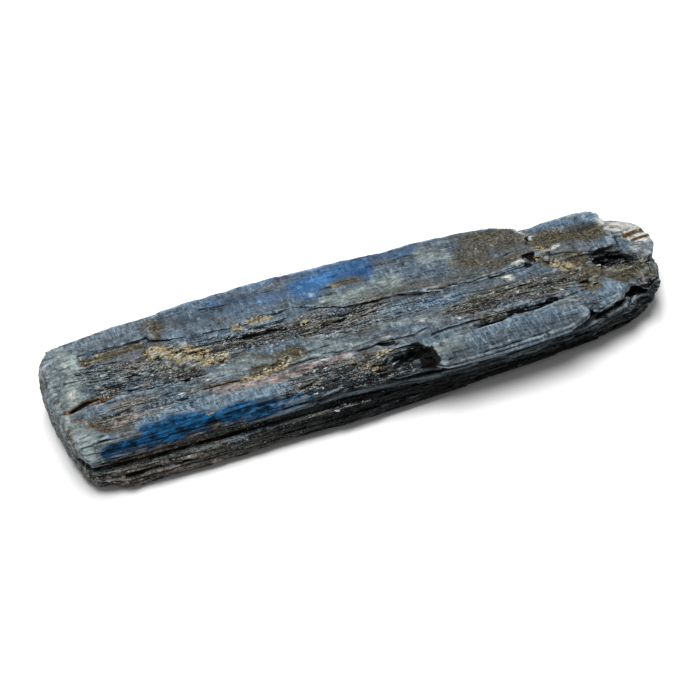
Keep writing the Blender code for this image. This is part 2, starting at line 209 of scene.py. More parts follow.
topPaint = {
    "azure": [
        (0.5, 1.2, -20.7, 10.8, -17.7, 10.2, -12, 9.6, -8.8, 9.6),
        (1, 2, -7.3, 9.4, -4.6, 10.1, -1.8, 10.6, 0.8, 10.9, 3.2, 10.6),
        (0.6, 1.1, 1, 12, 5, 11.9, 8.5, 11.7, 12.7, 11.6),
        (0.42, 1.1, 32, 9.8, 36.9, 9.7, 41.8, 9.4),
        (0.3, 0.9, 10.2, 0.4, 13.5, -0.3, 16, -0.3),
        (0.22, 2.2, -26, 9, -14, 9.5),
    ],
    "pale": [
        (1, 1.7, -45, 10.4, -44.8, 7.6, -45.4, 3.4, -46.2, -0.5),
        (0.85, 1.7, -46.9, -5, -46.2, -7.8, -45.8, -10.4, -45.8, -11.6),
        (0.45, 1.4, -48.4, 6.8, -48.9, 3, -49, -2, -48.4, -7),
        (0.95, 1.2, -4.4, 5.5, -0.4, 5.6, 4.7, 6.1, 8, 6.2),
        (0.66, 1.5, 13.6, 9.3, 16.2, 8.2, 17.4, 6.6),
        (0.66, 0.8, -25.6, -2.6, -20.8, -2.5, -16.1, -2.4),
        (0.6, 0.6, -26, -8, -20, -8, -14, -8.2),
        (0.6, 0.7, -9, -1.4, -3, -1.8),
        (0.66, 1.3, -42, 2.6, -38, 1.6, -34, 0.8),
        (0.55, 1.2, 33, 10.4, 41, 10),
        (0.6, 0.7, -13, -2.4, -7.5, -2.6),
        (0.6, 1.7, 8.2, -10.2, 11, -9.2),
        (0.6, 0.9, 0.6, -1.5, 4.8, -2.3, 9.4, -3),
        (0.6, 1, -12, -4.6, -6, -4.2, -3, -4.9),
    ],
    "sky": [
        (1, 0.85, -38.3, -8, -34.9, -8.3, -31.1, -8.2, -28.4, -8.5),
        (0.9, 0.8, -28, -8.8, -23.1, -9.1, -18, -9.2, -15, -8.6),
        (0.5, 1, -27, -7.4, -21, -7.6, -12, -7.8),
        (0.42, 1.9, 13.5, -10.9, 18, -10.6, 24, -10.2, 30, -9.6),
        (1, 0.9, 17, -7.9, 20, -7.9),
        (1.2, 1.2, 36.6, -7.6, 38.2, -6.9, 39.4, -6.4),
        (0.6, 0.5, 42, -6.6, 43.7, -6.2, 45.2, -5.9),
        (0.55, 1, -45, 10.6, -40, 10.8, -33, 10.9),
        (0.7, 0.6, 30.6, -5.4, 33.4, -5),
    ],
    "cobalt": [
        (1.7, 1.35, -36.8, -10.6, -34, -10.7, -31, -10.8, -29.2, -11),
        (1.5, 0.85, -43.4, -10.9, -39.5, -11.2, -36.6, -11.4),
        (1.3, 1, -28.6, -11.1, -24.5, -11, -20, -11.2, -15.5, -11.4, -11, -11.6),
        (0.6, 0.6, -11, -11.6, -6, -11.9),
    ],
    "brown": [
        (1.6, 0.78, -42.8, 6.3, -39.9, 6.7, -35.9, 6.9, -33.1, 7.1),
        (0.85, 0.9, -31.3, 10.2, -30.2, 8.4, -29.9, 6.3),
        (0.9, 0.4, -0.8, 8, 2, 8.1),
        (0.8, 2.4, 19.5, 6, 22, 8, 25, 8.6, 28.6, 8.6),
        (1, 0.9, 21, 10.6, 24, 11.2, 28, 10.8),
        (0.8, 1.2, 22, 4.2, 28.5, 4),
        (1.1, 1.5, 31, 6.4, 34, 6.2, 38, 5.6, 41, 5.4),
        (0.66, 1.8, 16.5, -1.8, 25.1, -1.3, 31.4, -2.4),
        (1.3, 1.2, 31.6, 2.2, 34.4, 1.4, 37.6, 0.4),
        (1.5, 1.5, 33.6, 0.4, 36.2, -0.8, 37.4, -2.8, 35.6, -4.4),
        (1.4, 1.4, 37.6, -1.6, 40.6, -2.8, 43.6, -3.4, 46, -3.8),
        (1.8, 1.1, -18.6, -4.5, -16, -4.3, -13.6, -3.5, -11.4, -2.6),
        (0.6, 0.8, -23, -0.2, -17.1, -1.5, -13.2, -2),
        (0.7, 0.6, -9.9, 1.9, -5, 1.8, -1.8, 1.7),
        (0.7, 0.9, -43.4, -6.2, -41.6, -8.2, -40.2, -6.8),
        (1.1, 0.9, -2.4, -6.9, -0.8, -8.3, 0.6, -9.3),
        (1.3, 1.2, 41.4, -4.4, 44.4, -4.8, 46.4, -4.6),
        (0.5, 0.8, 1, 4.2, 8, 4, 13, 3.8),
        (0.55, 1.2, 13, 3, 18, 3, 23, 3.2),
        (1.2, 0.8, -3.4, -8.6, -0.6, -9.6, 1.6, -8.2, 3, -8),
        (0.9, 0.6, 16.6, -6.2, 20.8, -5.9),
        (0.75, 1.2, -43.8, -6.2, -41.4, -7.4, -41, -8.8),
        (0.9, 0.8, -27.8, -11.2, -27, -12.2),
        (1.3, 1.2, 43.6, -2.4, 46.6, -3.4, 47.4, -5),
    ],
    "rust": [
        (1, 0.46, -47.2, -2.6, -45.3, -2.2, -43.5, -2, -41, -1.5),
        (0.6, 0.5, -46.3, -4.3, -44.7, -4.7),
        (0.7, 0.5, -44.2, -6.6, -43.1, -8.1),
        (0.95, 0.28, -27.4, -5.2, -22.6, -5.4, -18.4, -5.4),
        (1, 0.42, 46, 3.5, 49.4, 4.3),
        (0.9, 0.26, 46.8, 2.5, 49.4, 2.9),
        (0.8, 0.35, -42.8, 5.6, -41.6, 5.8),
        (0.62, 0.3, -20, 2.9, -15, 3, -11.4, 2.4),
    ],
    "gold": [
        (1, 1.3, -32.3, 4.4, -29.6, 3.8, -26.6, 2.2, -23.6, 0.6),
        (0.5, 1.2, -31.8, 1.6, -28.8, 0.4, -26.3, -0.4),
        (0.95, 0.55, -21.5, -5.1, -18.2, -5, -15.4, -4.6, -13.9, -3.6),
        (0.9, 0.5, -18.8, 5, -17.4, 5.2),
        (0.9, 0.5, -15.9, 5.6, -13.2, 5.7),
        (0.85, 0.5, -9.8, 2.6, -8.4, 2.9),
        (0.85, 0.3, -1.8, 7.9, -1.2, 7.9),
        (0.66, 0.7, -4.8, -7.6, -2.4, -8.9, -0.8, -10.4, 0.3, -11.8),
        (0.7, 0.45, 0.2, -7.4, 2.4, -7.5),
        (0.85, 0.55, 31.6, 1.5, 32.2, 1),
        (0.7, 0.9, 33.4, -0.1, 34.4, -0.9),
        (0.85, 0.5, 29.4, 3.2, 30.2, 3),
        (0.9, 0.35, 31.2, 5.2, 32.6, 4.4),
        (1, 0.55, -28.1, -10.4, -27.6, -10.6),
        (0.8, 0.3, -40.4, 7.5, -39.8, 7.5),
        (0.8, 0.3, -40, -1, -38.4, -1.2),
    ],
    "pink": [
        (0.8, 0.9, -25, -6.4, -20, -6.6, -15.5, -6.8, -10, -6.4, -6, -6.2),
        (0.62, 0.9, -42, -7.2, -39, -6.8),
        (0.7, 0.8, 32.6, 0, 34.6, -0.6),
        (0.6, 0.7, 43, -6.6, 45, -6),
        (0.55, 0.8, -38, 1.8, -35, 2),
    ],
    "milk": [
        (1, 1.9, 44.4, 6.6, 47, 5.2, 48.6, 3.4),
        (0.35, 1, 46, 0.6, 48, 1, 48, -0.8),
        (0.9, 0.5, 23.2, 1, 24.6, 1),
        (0.8, 0.3, 25, 3, 27, 3),
        (0.8, 0.35, 32.8, 4.6, 34.2, 4.4),
        (0.75, 0.3, -45.6, 6.3, -45.6, 6.9),
        (0.75, 0.4, -46, -0.2, -46.1, 0.4),
        (0.8, 0.35, -27, -3.4, -26.4, -3.4),
        (0.7, 0.4, 30.2, 10, 30.1, 7.4),
        (0.8, 0.2, -30.6, 4.4, -30.1, 4.3),
        (0.7, 0.18, -14.4, -3, -13.8, -2.9),
        (0.7, 0.16, -9, -5.4, -8.4, -5.3),
        (0.7, 0.18, -4.2, -4.4, -3.6, -4.3),
        (0.7, 0.15, 1.2, -4.8, 1.9, -4.7),
        (0.7, 0.15, 7.6, -3.5, 8.4, -3.3),
        (0.7, 0.15, 14, 0.6, 14.5, 0.7),
        (0.7, 0.16, -35, 0.8, -34.5, 0.7),
        (0.7, 0.16, -30.8, -5.2, -30.2, -5.1),
    ],
    "dark": [
        (0.6, 0.5, -42, 0.2, -38, 0, -33, -0.6, -28, -1.9),
        (0.9, 0.45, -21.7, 3.4, -18, 3.1, -12.8, 3, -9, 2.4),
        (0.6, 0.4, -24, 2.4, -17, 1.4, -10, 1, -4, 0.4),
        (0.6, 0.7, -9, -8.8, -5, -8.2, -1, -7),
        (0.75, 0.9, -12, -10.6, -6, -10.8, -1, -11.2),
        (1.8, 1, 2.4, -8.8, 5.4, -8.2, 6.5, -9.6, 6, -11.6),
        (1.2, 0.8, -4, -11.2, 0, -11.2, 4.6, -11.4),
        (1.8, 0.45, 28.4, 4, 29.6, 4),
        (1.6, 0.35, 27.6, 2.4, 28.2, 2.2),
        (0.5, 0.5, -14.5, -8.8, -10, -7.6, -6, -7),
        (0.8, 1.1, 39.4, 0.4, 42, 0, 44.6, -1.6),
        (0.4, 0.8, 17, -3.4, 24, -3.6, 29, -4.4),
        (0.8, 0.35, 16.1, -7, 22.3, -6.4, 29.5, -6.3),
        (0.45, 1, 38, 6.6, 42, 6.8),
        (0.7, 0.8, 33.6, -8.6, 35, -9.8),
        (0.5, 0.6, -6, 2.4, 4, 2.8, 10, 2.4),
        (0.42, 1.2, -27, 9, -22, 9.5, -17, 9.9),
        (0.46, 1.6, 10, -11.8, 20, -11.4, 30, -10.8),
        (0.5, 0.7, -33, 0.6, -29.4, -0.2, -26.4, -1),
    ],
    # painted shade in the open pits
    "pitShade": [
        (1.8, 1.15, 3.2, -9.2, 5.4, -8.4, 6.6, -9.4, 6.4, -11.2),
        (1.3, 0.4, -1.6, -10.9, 1.4, -10.2, 3.4, -10),
        (1.7, 0.4, 28.2, 4.2, 29.8, 4.3),
        (1.5, 0.3, 27.4, 2.5, 28.4, 2.2),
        (1, 0.4, 39.8, 0.9, 42.4, 0.3, 44.4, -1.4),
        (1, 0.4, 42, -1.6, 44.2, -2),
        (1.1, 0.3, -17.6, 3.1, -14.2, 3.1, -12.6, 3),
        (1, 0.22, -39.8, -0.4, -38, -0.6),
        (0.8, 0.16, -46.6, -2.4, -45.3, -2.1, -43, -1.7),
        (1, 0.22, -37, 1.4, -35, 0.4),
        (1, 0.28, -3.4, -5.7, 0.4, -5.5, 2.6, -5.7),
        (1.1, 0.3, 21.6, -6.7, 24.4, -6.2, 29.4, -6.1),
        (0.9, 0.25, 16.6, -7.1, 19, -6.9),
        (1.2, 0.7, 41, -8, 44, -7.6, 46.6, -6.8),
    ],
    "ragged": [
        (0.8, 2.4, -42, 3.4, -38, 2, -33, 0.6),
        (1, 1.6, -40, -0.6, -33, -1.2, -28, -1.6),
        (1, 1.8, -25, 2.6, -16, 2.6, -8, 1.8, 2, 2),
        (0.55, 2, -42, -6, -36, -5.6, -30, -6.4),
        (0.9, 2.2, -10, -8.4, -4, -9.6, 2, -9.6),
        (0.7, 2, -14, -9.8, -6, -11),
        (0.6, 2.2, 14, -3, 24, -3, 33, -3),
        (0.7, 1.5, 39, -0.6, 43, -1.4, 46, -3),
        (0.6, 1.4, -6, -1, 4, -0.6, 12, 0.8),
    ],
}

# narrow cracks on the top: half width, depth, then x, y of each point, all in mm

topCracks = [
    (0.15, 0.23, -41.8, 8.1, -37.9, 7.8, -33.3, 7.6),
    (0.17, 0.32, -43.5, 4.7, -39, 4.4, -33, 4),
    (0.23, 0.39, -42.4, 0.2, -39.8, -0.4, -38.1, -0.6),
    (0.17, 0.3, -37.2, 1.2, -34.9, 0, -32.3, -0.9),
    (0.17, 0.36, -47.4, -2.6, -44.5, -2, -42.1, -1.4, -39.7, -1.1),
    (0.16, 0.3, -39.7, -1.1, -36.1, -1.6, -32.3, -1.9, -28.5, -2.2),
    (0.17, 0.45, -31.9, -0.2, -30.4, -1.1, -28.7, -1.6),
    (0.14, 0.32, -33, 3, -33.2, 1.2, -33, -0.4),
    (0.14, 0.36, -27.8, -0.8, -27.4, -1.7),
    (0.16, 0.32, -28, 5.6, -18.5, 4.9, -14.5, 5.8, -8.6, 5.7),
    (0.19, 0.39, -25.3, 3.4, -21.7, 3.5, -18, 3.1, -12.8, 3, -9, 2.5, -2.9, 3.2),
    (0.17, 0.36, -24.9, 1.9, -18.9, 1.8, -16.1, 1, -11.7, 0.8, -4.3, -0.4, -1, 0.4),
    (0.16, 0.32, -20.7, 4.6, -16.7, 4.7, -11.7, 4.6),
    (0.16, 0.27, -8.2, 2, -4.7, 2.6, -2, 3, 3, 3.2),
    (0.14, 0.27, 6.1, 3.1, 11.7, 2.2, 18.2, 1.9, 23.4, 1.9),
    (0.14, 0.2, 10.9, 0.7, 17.3, 0, 24, -0.4),
    (0.15, 0.26, -27.1, -5.2, -22.6, -5.4, -18.4, -5.4, -14.6, -5, -9.3, -4.9),
    (0.13, 0.2, -38.7, -4.6, -35.4, -4.8, -29.4, -4.9, -25, -4.4),
    (0.2, 0.45, -4.8, -5.6, -2, -5.6, 0.4, -5.5, 3.4, -5.8),
    (0.13, 0.23, 24.5, 5.2, 26.9, 5.6),
    (0.17, 0.39, 16.1, -7.1, 19.5, -6.8, 22.3, -6.3, 26.5, -6.2, 29.8, -6.2),
    (0.16, 0.36, 30.3, 10.4, 30.2, 8.4, 29.8, 5.6),
    (0.17, 0.32, 31.6, 3.2, 34.4, 2.5, 38.3, 1.4),
    (0.14, 0.23, 13.6, -2.2, 20, -2, 27, -1.6),
    (0.14, 0.23, 18, -4.6, 25, -4.6, 31, -5.2),
    (0.16, 0.27, -12, -8, -7, -8.2, -2.6, -8.6),
    (0.16, 0.32, -14, -10, -8, -9.6, -4.6, -10),
    (0.14, 0.27, 8.2, -12.4, 14, -12.8, 22, -12.5, 28, -12),
    (0.14, 0.16, -6, 8, 0, 8.3),
    (0.12, 0.13, -14, 10.9, -11, 11),
]

# pits that stay open

openPits = [
    (1, 2, 2.4, -10.4, 5.4, -9.2),
    (0.8, 0.6, 30.3, 3.3, 30.8, 3),
    (0.5, 1, 39.8, 0, 42, -0.6),
    (0.6, 0.8, 35.6, -3.8, 36.4, -4.4),
    (0.9, 0.35, 16.1, -7.1, 22.3, -6.3, 29.8, -6.2),
]

# steps that later crystals have filled to a slope

slopes = [
    (1, 1.4, -27, 5.6, -17.8, 6, -14.4, 6.4, -11, 6.8, -7.8, 7, -3, 6.8, 2, 6.8),
    (1, 0.9, 1.6, -8, 4, -7.4, 5.4, -7.2),
    (1, 0.8, 2, -11.4, 5, -11.8),
    (1, 1.6, 42, -5.6, 44.6, -5, 46.6, -4.6),
    (1, 1.2, -4, -5.8, -1, -5.6),
]

# where broken bits lie in hollows

rubble = [
    (1, 1.3, -4, -9.4, 1, -9.8, 3.4, -9.8),
    (0.5, 1, 3.4, -10.6, 6.4, -10.8),
    (1, 1.2, 38.6, 0.4, 42, -0.4, 44.6, -2.4),
    (0.8, 0.7, 29.8, 3.6, 31.6, 2.6),
    (0.6, 1, 33, -8.6, 35.4, -9.8),
    (0.7, 0.9, 43.5, -6.4, 47.5, -5.8),
    (0.5, 1.2, -25, 2.6, -16, 2, -8, 1.4),
    (0.8, 0.6, 16.1, -6.4, 22.3, -5.8, 29.5, -5.8),
    (0.5, 0.8, -42, 0.4, -36, -0.4, -30, -1.2),
    (0.4, 1.6, -14, -9.6, -6, -10.4, -1, -8.4),
]

# layer lines along the front side: half width, depth, then x, z of each point, all in mm

frontCracks = [
    (0.16, 0.41, -46, 4.4, -39, 3.9, -30, 4.3, -20, 4.2),
    (0.14, 0.36, -44, 3, -36, 3.2, -26, 2.9),
    (0.14, 0.32, -18, 5.2, -8, 4.9, 2, 5.1, 8, 5.4),
    (0.13, 0.27, -20, 6.9, -12, 6.4, -4, 6.5, 4, 6.9),
    (0.12, 0.27, -14, 7.6, -6, 7.2, 3, 7.6),
    (0.13, 0.32, 8, 7.8, 18, 8, 30, 7.9),
    (0.13, 0.32, 5, 5.9, 18, 6.1, 34, 6.1),
    (0.13, 0.32, 8, 4.2, 22, 4.2, 40, 4.3),
    (0.12, 0.27, -2, 2.2, 14, 2.4, 34, 2.4),
    (0.42, 0.95, 33, 7, 38, 6.9, 42, 6.5, 46, 6.1),
    (0.26, 0.7, 30, 5.4, 37, 5.2, 43, 4.9),
    (0.22, 0.6, 28, 3.6, 35, 3.5, 41, 3.4),
    (0.2, 0.5, 9, 7.2, 18, 7.4, 29, 7.3),
    (0.16, 0.45, -6, 8, 2, 7.9, 9, 7.9),
]

carving = {
    "plate": (16.0, 1.9, 1.5),  # mm: length, width and thickness of the broad treads
    "plateLift": (0.08, 0.20),  # mm between low and high treads, on even and on ragged blades
    "lath": (7.0, 0.75, 0.6),
    "lathLift": (0.02, 0.14),
    "treads": 4.0,  # steps in the height of one plate or lath noise
    "riser": 0.72,  # share of a step at which its riser starts
    "sliver": (2.6, 0.36, 0.34),
    "sliverLift": (0.015, 0.11),
    "crumb": (1.1, 0.8, 0.8),  # mm: broken faces in the tan matrix and the pits
    "crumbLift": 0.30,
    "lump": (3.2, 2.0, 2.0),
    "lumpLift": 0.40,
    "swell": (18.0, 6.0, 4.0),
    "swellLift": 0.12,
    "layer": (26.0, 9.0, 0.62),
    "layerLift": 0.22,  # mm that layers differ on the sides
    "sideRagged": 0.6,  # how ragged the sides and the underside are
    "chip": 0.16,  # mm that broken rims lie back
    "chipGrain": (2.2, 0.9, 0.9),
    "grownShut": 0.9,  # share of a hollow's depth that later crystals fill
    "grownTurns": 60,
    "slopeTurns": 240,
    "slopeGain": 1.4,
    "crackFade": (0.12, 1.15),  # share of a crack's depth where it closes and where it opens
    "hollow": 0.24,  # mm from the sharpest rim to the deepest hollow in the finish
    "sharp": 24.0,  # degrees: edges that turn more than this are sharp
}
topEdge = (6.0, 6.8)  # mm: heights between which the sides turn into the top


def between(pair, share):
    return pair[0] + (pair[1] - pair[0]) * share


def terraces(height, setup):  # flat treads with steep risers
    level = height * setup["treads"]
    tread = np.floor(level)
    return (tread + smooth(setup["riser"], 1.0, level - tread)) / setup["treads"]


def wandering(points, *waves):  # uneven offsets in mm; a wave is size, seed, reach
    offsets = [grain(points, (size, size, size), seed) * reach for size, seed, reach in waves]
    return np.stack(offsets, axis=1)


def cracksOf(points, normals):  # depth in mm of the drawn cracks at each point, and the painted shade in them
    onTop = smooth(*topEdge, points[:, 2]) * smooth(0.1, 0.5, normals[:, 2])
    onFront = smooth(-0.1, -0.5, normals[:, 1]) * smooth(8.9, 8.3, points[:, 2])
    wander = wandering(points, (4.0, 8, 1.0), (2.4, 9, 0.4))
    fade = between(carving["crackFade"], smooth(-0.4, 0.3, grain(points, (2.5, 2.0, 2.0), 10)))
    deep, dark = np.zeros(len(points)), np.zeros(len(points))
    drawn = (
        (topCracks, points[:, :2] + wander, onTop),
        (frontCracks, points[:, (0, 2)] + wander * (1.0, 0.5), onFront),
    )
    for paintedCrackShade, places, side in drawn:
        for half, depth, *path in paintedCrackShade:
            near = smooth(1.6, 0.2, pathDistance(places, path) / half) * fade * side
            deep = np.maximum(deep, near * depth)
            dark = np.maximum(dark, near * min(1.0, 0.5 + depth))
    return deep, dark


def reliefOf(points, normals, setup):  # mm that each point is raised or cut
    flat = points[:, :2]
    high = smooth(*topEdge, points[:, 2])
    onTop = high * smooth(0.1, 0.5, normals[:, 2])
    onSide = smooth(0.3, 0.8, np.abs(normals[:, 1]))
    ragged = np.maximum(painted(flat, topPaint["ragged"]) * onTop, setup["sideRagged"] * (1.0 - onTop))
    crumbly = painted(flat, topPaint["gold"]) * high
    lift = terraces(grain(points, setup["plate"], 1), setup) * between(setup["plateLift"], ragged)
    lift += terraces(grain(points, setup["lath"], 2), setup) * between(setup["lathLift"], ragged)
    lift += (cells(points, setup["sliver"], 3) - 0.5) * between(setup["sliverLift"], ragged)
    lift += grain(points, setup["swell"], 4) * setup["swellLift"] * (1.0 - onSide)
    lift += (cells(points, setup["layer"], 5) - 0.5) * setup["layerLift"] * onSide
    lift += (cells(points, setup["crumb"], 6) - 0.55) * setup["crumbLift"] * crumbly
    lift += grain(points, setup["lump"], 7) * setup["lumpLift"] * crumbly
    return lift


def chipsOf(points, normals, ends, setup):  # 1 on rims that are broken off, 0 elsewhere
    bulge = ((points - relaxed(points, ends, 5)) * normals).sum(axis=1)
    return smooth(0.02, 0.12, bulge) * smooth(-0.1, 0.5, grain(points, setup["chipGrain"], 11))


def setMask(mesh, name, values):  # a number a vertex that the finish reads
    layer = mesh.attributes.new(name, "FLOAT", "POINT")
    layer.data.foreach_set("value", np.array(values, dtype=np.float32))


def insideBox(points):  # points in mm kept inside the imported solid's box
    return np.clip(points, np.array(cadBox[0]) / mm, np.array(cadBox[1]) / mm)


def carve(mesh, setup):
    points, normals, ends = readPoints(mesh), readNormals(mesh), edgeEnds(mesh)
    flat = points[:, :2]
    high = smooth(*topEdge, points[:, 2])
    deep, dark = cracksOf(points, normals)
    lift = reliefOf(points, normals, setup) - deep
    lift -= chipsOf(points, normals, ends, setup) * setup["chip"]
    carved = points + normals * lift[:, None]
    grown = filled(points[:, 2], ends, setup["grownTurns"]) - points[:, 2]
    carved[:, 2] += grown * setup["grownShut"] * high * (1.0 - painted(flat, openPits))
    sloped = filled(carved[:, 2], ends, setup["slopeTurns"]) - carved[:, 2]
    carved[:, 2] += sloped * high * np.minimum(1.0, painted(flat, slopes) * setup["slopeGain"])
    writePoints(mesh, insideBox(carved))
    # painted shade in the cracks, darker where they are deeper
    setMask(mesh, "crackShade", dark)


carve(stone.data, carving)
print("stone carved")


# masks that the finish reads, from 0 to about 1, over places in mm

def strengthen(zones, name, values):
    zones[name] = np.maximum(zones[name], values)


def addSideZones(zones, points, normals, onTop):
    x, y, z = points[:, 0], points[:, 1], points[:, 2]
    below = 1.0 - smooth(5.8, 6.8, z)
    front, rear = smooth(-0.1, -0.6, normals[:, 1]), smooth(0.1, 0.6, normals[:, 1])
    patches = grain(points, (16.0, 8.0, 5.0), 23)
    # the front below the top rim, right of the left end, painted dark as shade
    frontShade = front * smooth(8.6, 7.6, z) * smooth(-26.0, -6.0, x)
    treads = smooth(7.7, 6.9, z) * smooth(0.2, 0.6, normals[:, 2]) * onTop * 0.8
    # how strong the painted front shade is: weaker at the left, full towards the right
    shadeAlongX = between((0.35, 1.0), smooth(-30.0, -8.0, x))
    rock = smooth(0.0, 0.35, patches + grain(points, (3.0, 2.0, 1.6), 24) * 0.8)
    rock = front * smooth(-8.0, -22.0, x) * rock
    # layer lines on the front, painted dark as shade, and on the back at half strength
    zones["shadedStrata"] = np.maximum(frontShade, rear * smooth(8.4, 7.0, z) * 0.5) * smooth(2.0, 5.0, z)
    # painted shade on the lower front side, darker towards the bottom
    zones["frontLowShade"] = front * smooth(8.1, 5.4, z) * smooth(-48.0, -44.0, x) * shadeAlongX
    earth = np.maximum(front * smooth(2.0, -12.0, x) * 0.8, 0.35 + 0.5 * patches)
    strengthen(zones, "brown", below * earth)
    # painted shade on the lower front, and darker low treads on the top
    strengthen(zones, "dark", np.maximum(frontShade * smooth(6.6, 4.4, z), treads))
    strengthen(zones, "azure", smooth(11.6, 12.6, y) * (0.35 + 0.5 * patches))
    strengthen(zones, "pink", rock * smooth(7.8, 6.8, z) * 0.62)
    strengthen(zones, "ragged", below * 0.6)


def addEndZones(zones, points):
    x, y, z = points[:, 0], points[:, 1], points[:, 2]
    endFace = smooth(-46.8, -48.2, x)
    spots, stains = grain(points, (2.0, 2.6, 1.4), 25), grain(points, (1.2, 2.2, 1.0), 26)
    strengthen(zones, "pale", smooth(-44.0, -47.5, x) * smooth(3.0, 5.0, z) * 0.45)
    strengthen(zones, "brown", endFace * smooth(-0.1, 0.4, spots) * 0.75)
    strengthen(zones, "dark", endFace * smooth(0.15, 0.6, stains) * 0.8)
    strengthen(zones, "pink", endFace * smooth(0.2, 0.6, -spots) * 0.6)
    strengthen(zones, "milk", smooth(45.4, 47.0, x) * smooth(4.2, 5.0, z) * smooth(-1.0, 3.0, y) * 0.7)


def zonesAt(points, normals):  # strength of each finish at points in mm
    flat = points[:, :2] + wandering(points, (4.0, 21, 1.6), (3.0, 22, 0.7))
    onTop = smooth(6.2, 6.9, points[:, 2]) * smooth(-0.2, 0.1, normals[:, 2])
    zones = {name: painted(flat, strokes) * onTop for name, strokes in topPaint.items()}
    addSideZones(zones, points, normals, onTop)
    addEndZones(zones, points)
    return zones


def setZones(mesh, points, normals):
    for name, values in zonesAt(points, normals).items():
        setMask(mesh, name, values)


def paintStone(mesh, setup):
    points, normals = readPoints(mesh), readNormals(mesh)
    setZones(mesh, points, normals)
    # how hollow each point is: hollows get painted shade, and rims are lightened as wear and painted
    # highlight
    hollow = ((relaxed(points, edgeEnds(mesh), 6) - points) * normals).sum(axis=1)
    setMask(mesh, "hollow", np.clip(0.5 + hollow / setup["hollow"], 0.0, 1.0))


paintStone(stone.data, carving)
stone.data.shade_smooth()
stone.data.set_sharp_from_angle(angle=math.radians(carving["sharp"]))
print("finishes laid out")


# loose crystals grown on the stone, each set half into it

class CarvedSurface:  # finds where a line in mm first meets the carved stone
    def __init__(self, mesh):
        corners = [Vector(p) for p in readPoints(mesh)]
        self.tree = BVHTree.FromPolygons(corners, [tuple(face.vertices) for face in mesh.polygons])

    def meet(self, x, s, side):  # s runs across the blades on that side
        across, look = Vector(side["across"]), Vector(side["look"])
        return self.tree.ray_cast(Vector((x, 0.0, 0.0)) + across * s - look * 40.0, look)[0]

    def gap(self, place):  # mm from a place to the stone
        return self.tree.find_nearest(place)[3]


sides = {
    "top": {"look": (0, 0, -1), "across": (0, 1, 0), "from": -13.2, "to": 13.2},
    "front": {"look": (0, 1, 0), "across": (0, 0, 1), "from": 0.6, "to": 8.4},
    "back": {"look": (0, -1, 0), "across": (0, 0, -1), "from": -8.6, "to": -0.6},
    "below": {"look": (0, 0, 1), "across": (0, -1, 0), "from": -11.0, "to": 11.0},
}

bladeRuns = (
    # side, how many, lengths, widths, how far they stand out in mm, turn in degrees
    ("top", 1700, (0.9, 5.5), (0.22, 0.80), (0.03, 0.26), 4.0),
    ("front", 300, (4.0, 24.0), (0.28, 1.00), (0.05, 0.38), 1.3),
    ("back", 420, (2.5, 15.0), (0.22, 0.65), (0.02, 0.20), 1.6),
    ("below", 420, (2.5, 14.0), (0.30, 0.90), (0.02, 0.18), 2.0),
)

plates = (
    # large plates set one by one on the top: x, y, length, width, stand, turn in degrees
    (40.6, -3.2, 7.5, 2.3, 0.3, 5),
    (43.6, -5.2, 5, 1.7, 0.34, 9),
    (44.8, -2.2, 4.6, 1.4, 0.22, -6),
    (36, -2.6, 5, 1.6, 0.16, 3),
    (-36.5, 3.2, 8, 1.5, 0.16, 2),
    (-34, -3, 7, 1.2, 0.18, 2),
    (-14, 4.8, 7, 0.9, 0.22, 3),
    (-18, 3.9, 6, 0.8, 0.2, 1),
    (-5, 4.6, 8, 1, 0.18, 1),
    (-11, -6.6, 6.5, 0.8, 0.2, 5),
    (-7.5, -7.6, 6, 0.7, 0.24, 5),
    (2, 0.6, 9, 1.2, 0.16, 1),
    (22, -5.2, 7, 1, 0.2, 2),
)

bladeRules = {
    "seed": 5,
    "tries": 4,  # places tried for each blade
    "ends": 49.0,  # mm from the middle along X
    "least": 0.12,  # share of places used on even parts of the top
    "others": 0.6,  # the same on the other sides
    "reach": 0.42,  # share of a blade's length at which the stone under it is felt
    "bend": 0.7,  # mm that the stone may bend away under it
    "steepest": 0.9,  # slope of the stone across it
    "roll": 0.13,
    "root": (0.15, 0.35),  # mm that it is set into the stone
    "gap": 0.22,  # mm that a corner may lie off the stone, beside its stand
    "bevel": 0.16,  # share of its width
    "taper": 0.45,  # width of its narrowest end, as a share
    "wave": 0.06,  # sideways bend, as a share of its width
    "warp": 0.02,  # mm that its face is uneven
    "hollow": 0.85,  # painted shade at its foot, where it meets the stone
    "rims": (0.42, 0.36),  # of the upper edges, of blades and of plates, which are lightened as wear and painted highlight
    "tints": ((0.0, 0.5), (0.2, 0.4)),  # mean and spread of the tint, of blades and of plates
}


def bladeCorners(rng, length, width, thickness):  # a small lath with slanted ends, in its own frame
    ends = rng.uniform(0.0, 1.0, 4) * width
    taper = rng.uniform(bladeRules["taper"], 1.0, 3)
    bevel, wave, warp = bladeRules["bevel"] * width, bladeRules["wave"], bladeRules["warp"]
    corners = []
    for place, narrow, lean in ((-0.5, taper[0], 1), (rng.uniform(-0.2, 0.2), 1.0, 0), (0.5, taper[2], -1)):
        u = place * length
        half, bend = width / 2 * narrow, rng.uniform(-wave, wave) * width
        back, fore = ends[1 + lean] * lean, ends[2 + lean] * lean
        corners += [(u + back, bend - half, -thickness), (u + fore, bend + half, -thickness)]
        corners += [(u + fore + lean * bevel, bend + half - bevel, rng.uniform(-warp, warp))]
        corners += [(u + back + lean * bevel, bend - half + bevel, rng.uniform(-warp, warp))]
    return corners


def bladeFaces(first):
    faces = [(0, 3, 2, 1), (8, 9, 10, 11)]
    for step in (0, 4):
        for a, b in ((0, 1), (1, 2), (2, 3), (3, 0)):
            faces.append((step + a, step + b, step + b + 4, step + a + 4))
    return [tuple(first + corner for corner in face) for face in faces]


